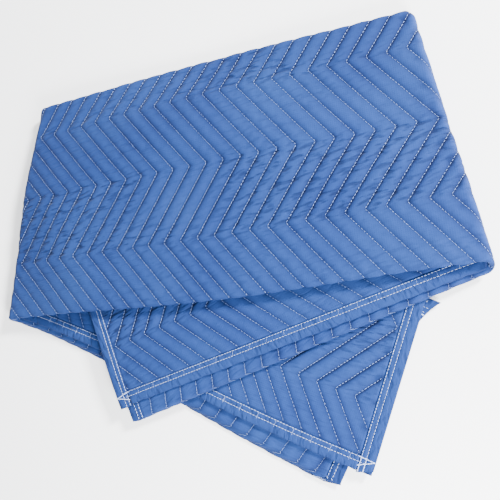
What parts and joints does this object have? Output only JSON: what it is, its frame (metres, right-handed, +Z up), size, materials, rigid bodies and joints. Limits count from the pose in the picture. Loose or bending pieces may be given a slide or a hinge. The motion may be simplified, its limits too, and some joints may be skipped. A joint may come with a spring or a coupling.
{
  "type": "folded moving blanket",
  "caption": "Quilted moving blanket with stitched edge binding, folded in three across and then with both ends turned under.",
  "frame": {"origin": "centre of the bounding box in plan, on the floor", "axes": "+Z up, +X along the length of the folded bundle, -Y towards the side where the turned-under ends fan out"},
  "size_m": [0.7082, 0.5884, 0.031],
  "materials": {
    "quilted_cloth": "matt woven",
    "binding_tape": "matt woven"
  },
  "bodies": {
    "root": {"pad": "quilted_cloth", "end_binding": "binding_tape", "inner_end_binding": "binding_tape", "side_binding_a": "binding_tape", "side_binding_b": "binding_tape"}
  },
  "joints": []
}
